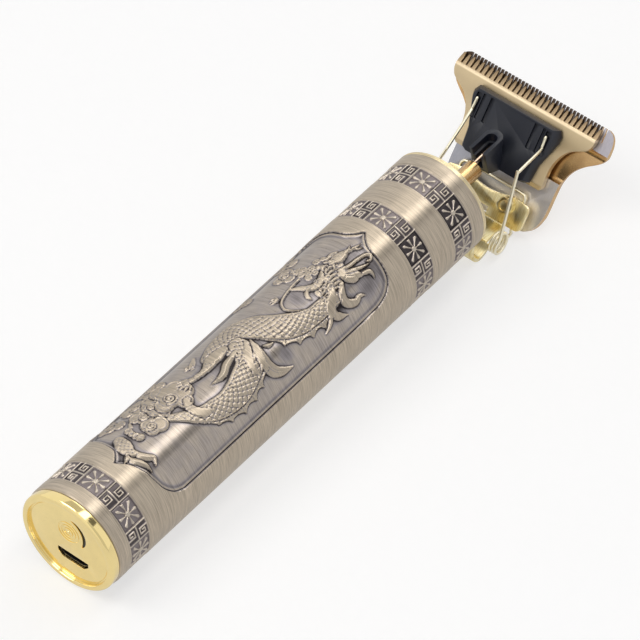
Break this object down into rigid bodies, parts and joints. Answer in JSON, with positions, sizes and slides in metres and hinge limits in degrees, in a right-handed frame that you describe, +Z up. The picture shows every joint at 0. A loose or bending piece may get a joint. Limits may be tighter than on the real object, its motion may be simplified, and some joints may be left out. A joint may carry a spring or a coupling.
{
  "type": "hair clipper",
  "caption": "Cordless T-blade hair clipper with a round ornamented metal barrel, a charging cap at the rear and a sprung, crank-driven blade set at the front.",
  "frame": {"origin": "centre of the underside, below the middle of the whole clipper as it lies on its back", "axes": "+Y along the barrel towards the blades, +X across the blades, +Z up on the decorated side"},
  "size_m": [0.0448, 0.1694, 0.0319],
  "materials": {
    "antique_metal": "brushed round the barrel, dark in the recesses",
    "polished_gold": "polished plating",
    "satin_gold": "satin champagne plating",
    "plated_blade": "gold plating with bare ground faces",
    "turned_brass": "turned and polished",
    "plain_steel": "bright",
    "black_moulding": "fine matt",
    "white_moulding": "matt",
    "clear_guide": "frosted",
    "circuit_board": "lacquered",
    "cell_wrap": "shrink wrap",
    "foam_pad": "open cell",
    "seal_rubber": "matt",
    "magnet_ferrite": "ground",
    "copper_winding": "enamelled"
  },
  "bodies": {
    "body": {"barrel_shell": "antique_metal", "end_cap": "polished_gold", "cap_seal": "seal_rubber", "cap_light_window": "clear_guide", "usb_port_shell": "plain_steel", "usb_port_tongue": "black_moulding", "charge_board": "circuit_board", "chassis_frame": "black_moulding", "battery_cell": "cell_wrap", "battery_tab_rear": "plain_steel", "battery_tab_front": "plain_steel", "battery_foam_rear": "foam_pad", "battery_foam_front": "foam_pad", "switch_board": "circuit_board", "switch_housing": "plain_steel", "switch_bezel": "polished_gold", "motor_can": "plain_steel", "motor_end_bell": "white_moulding", "motor_bush_front": "turned_brass", "motor_bush_rear": "turned_brass", "motor_magnet_left": "magnet_ferrite", "motor_magnet_right": "magnet_ferrite", "motor_terminal_left": "turned_brass", "motor_terminal_right": "turned_brass", "motor_screw_left": "plain_steel", "motor_screw_right": "plain_steel", "front_bulkhead": "black_moulding", "head_bracket": "polished_gold", "bracket_screw_left": "plain_steel", "bracket_screw_right": "plain_steel", "fixed_blade": "plated_blade", "blade_screw_left": "plain_steel", "blade_screw_right": "plain_steel", "torsion_spring": "polished_gold"},
    "rotor": {"motor_armature": "copper_winding", "motor_commutator": "copper_winding", "motor_shaft": "plain_steel", "eccentric_hub": "turned_brass", "eccentric_pin": "plain_steel"},
    "cutter": {"moving_blade": "satin_gold", "blade_carrier": "black_moulding"},
    "switch": {"switch_slider": "polished_gold"}
  },
  "joints": [
    {"name": "rotor_spin", "type": "hinge", "parent": "body", "child": "rotor", "pos_m": [-0.001, 0.04, 0.01868], "axis": [0, 1, 0], "range_deg": [0, 73.7]},
    {"name": "cutter_slide", "type": "slide", "parent": "body", "child": "cutter", "axis": [1, 0, 0], "range_m": [0, 0.00131], "deforming": ["torsion_spring"]},
    {"name": "switch_slide", "type": "slide", "parent": "body", "child": "switch", "axis": [0, 1, 0], "range_m": [0, 0.004]}
  ],
  "couplings": [
    {"joint": "cutter_slide", "follows": "rotor_spin", "m_per_rad": 0.00101}
  ]
}
